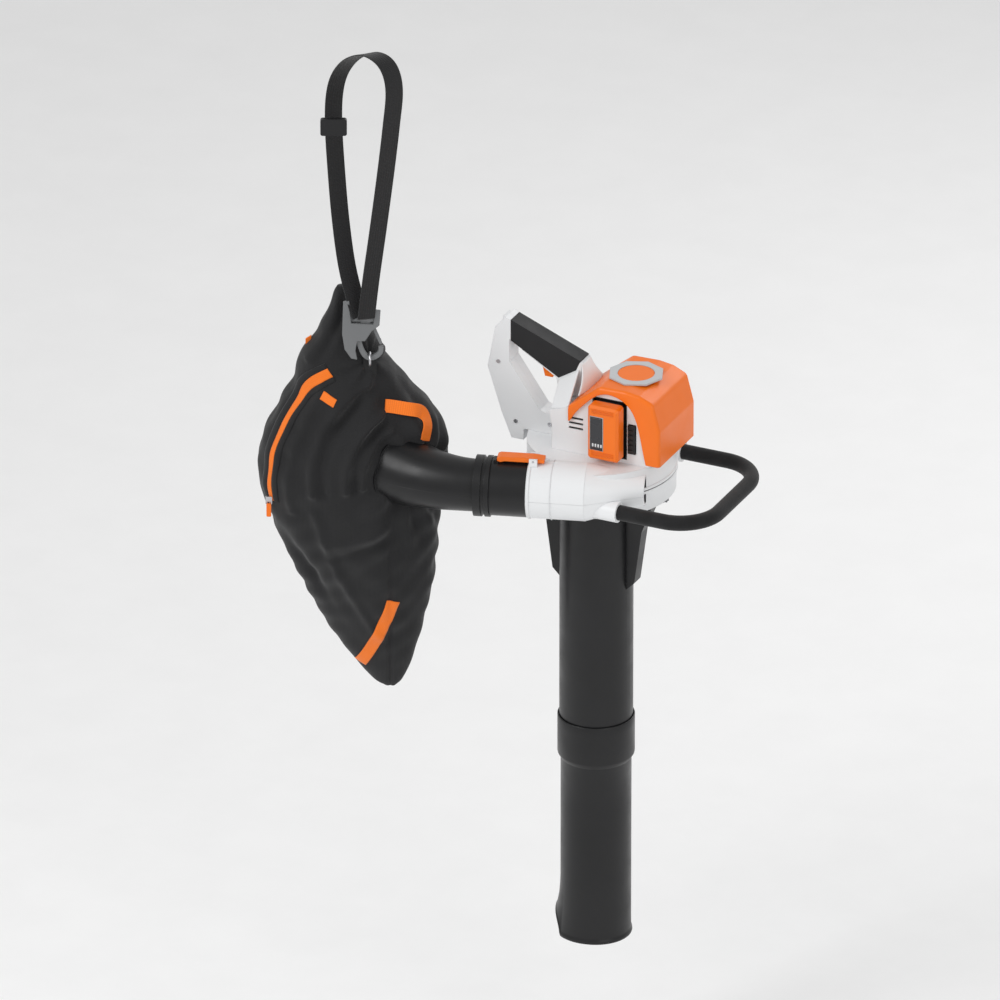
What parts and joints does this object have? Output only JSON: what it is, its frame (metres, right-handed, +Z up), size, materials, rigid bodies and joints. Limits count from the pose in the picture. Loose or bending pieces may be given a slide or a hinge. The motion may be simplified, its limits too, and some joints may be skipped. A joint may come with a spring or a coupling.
{
  "type": "leaf vacuum mulcher",
  "caption": "Hand-held leaf vacuum: suction tube under a shredding fan housing, rear and front handles, slide-in battery, and an outlet duct into a catcher bag on a shoulder strap.",
  "frame": {"origin": "on the suction tube's axis at the mouth, where the full round bore ends", "axes": "+X forward, towards the front loop handle; +Z up along the suction tube"},
  "size_m": [0.7951, 0.4133, 1.6302],
  "materials": {
    "white_shell": "fine grained white moulded plastic",
    "orange_shell": "satin orange moulded plastic",
    "grey_plastic": "plain grey moulded plastic",
    "badge_orange": "plain orange disc",
    "black_plastic": "satin black moulded plastic",
    "soft_grip": "black soft grip and foam",
    "steel": "machined steel",
    "copper_contact": "plated contact blades",
    "circuit_board": "green circuit board",
    "label_film": "dark printed film with plain marks",
    "bag_fabric": "black woven polyester",
    "webbing": "black ribbed webbing",
    "orange_webbing": "orange webbing and piping",
    "zip_metal": "painted zip slider"
  },
  "bodies": {
    "machine": {"badge_disc": "badge_orange", "bag_cuff": "bag_fabric", "bag_ring": "steel", "bag_stripe": "orange_webbing", "bag_zip": "orange_webbing", "battery_bay": "black_plastic", "battery_contacts": "copper_contact", "bearing_lower": "steel", "bearing_upper": "steel", "carry_loop": "orange_webbing", "catcher_bag": "bag_fabric", "controller_board": "circuit_board", "coupling_ring": "black_plastic", "duct_elbow_lower": "black_plastic", "duct_elbow_upper": "black_plastic", "duct_socket": "black_plastic", "fan_housing_lower": "white_shell", "fan_housing_upper": "white_shell", "front_handle": "steel", "front_handle_foam": "soft_grip", "gate_pin": "steel", "handle_grip": "soft_grip", "handle_screws": "steel", "handle_shell_far": "white_shell", "handle_shell_near": "white_shell", "hood_badge": "grey_plastic", "housing_screws": "steel", "latch_lugs": "white_shell", "latch_pin": "steel", "motor_hood": "orange_shell", "motor_mount": "black_plastic", "motor_shroud": "white_shell", "motor_stator": "steel", "release_pin": "steel", "ring_tab": "webbing", "shoulder_strap": "webbing", "strap_adjuster": "black_plastic", "strap_hook": "grey_plastic", "suction_tube_lower": "black_plastic", "suction_tube_upper": "black_plastic", "switch_module": "black_plastic", "trigger_pin": "steel", "tube_peg": "black_plastic", "zip_slider": "zip_metal"},
    "rotor": {"motor_rotor": "steel", "motor_shaft": "steel", "fan_impeller": "black_plastic", "shredder_blade": "steel", "blade_nut": "steel"},
    "trigger": {"trigger": "orange_shell"},
    "battery": {"battery_case": "black_plastic", "battery_head": "orange_shell", "battery_label": "label_film"},
    "battery_release": {"battery_release": "black_plastic"},
    "duct_latch": {"duct_latch": "orange_shell"},
    "tube_lock_knob": {"tube_lock_knob": "grey_plastic"},
    "hook_gate": {"hook_gate": "grey_plastic"},
    "zip_pull": {"zip_pull": "orange_webbing"}
  },
  "joints": [
    {"name": "rotor_spin", "type": "hinge", "parent": "machine", "child": "rotor", "pos_m": [0, 0, 0.84], "axis": [0, 0, 1], "continuous": true},
    {"name": "trigger_pull", "type": "hinge", "parent": "machine", "child": "trigger", "pos_m": [-0.07, 0, 0.998], "axis": [0, 1, 0], "range_deg": [0, 10], "stiffness_Nm_per_rad": 0.5},
    {"name": "battery_slide", "type": "slide", "parent": "machine", "child": "battery", "axis": [0, -1, 0], "range_m": [0, 0.14]},
    {"name": "battery_release_press", "type": "hinge", "parent": "machine", "child": "battery_release", "pos_m": [0.099, -0.061, 0.914], "axis": [0, 0, 1], "range_deg": [-8, 0], "stiffness_Nm_per_rad": 0.3},
    {"name": "duct_latch_lift", "type": "hinge", "parent": "machine", "child": "duct_latch", "pos_m": [-0.04849, -0.1424, 0.886], "axis": [-0.2924, 0.9563, 0], "range_deg": [0, 6], "stiffness_Nm_per_rad": 1},
    {"name": "tube_lock_turn", "type": "hinge", "parent": "machine", "child": "tube_lock_knob", "pos_m": [0.104, 0.038, 0.77], "axis": [0, 0, 1], "continuous": true},
    {"name": "hook_gate_open", "type": "hinge", "parent": "machine", "child": "hook_gate", "pos_m": [-0.32447, -0.1844, 1.094], "axis": [0.4226, -0.9063, 0], "range_deg": [-25, 0], "stiffness_Nm_per_rad": 0.05},
    {"name": "zip_pull_swing", "type": "hinge", "parent": "machine", "child": "zip_pull", "pos_m": [-0.479, -0.26474, 0.766], "axis": [0.4226, -0.9063, 0], "range_deg": [-70, 0]}
  ]
}
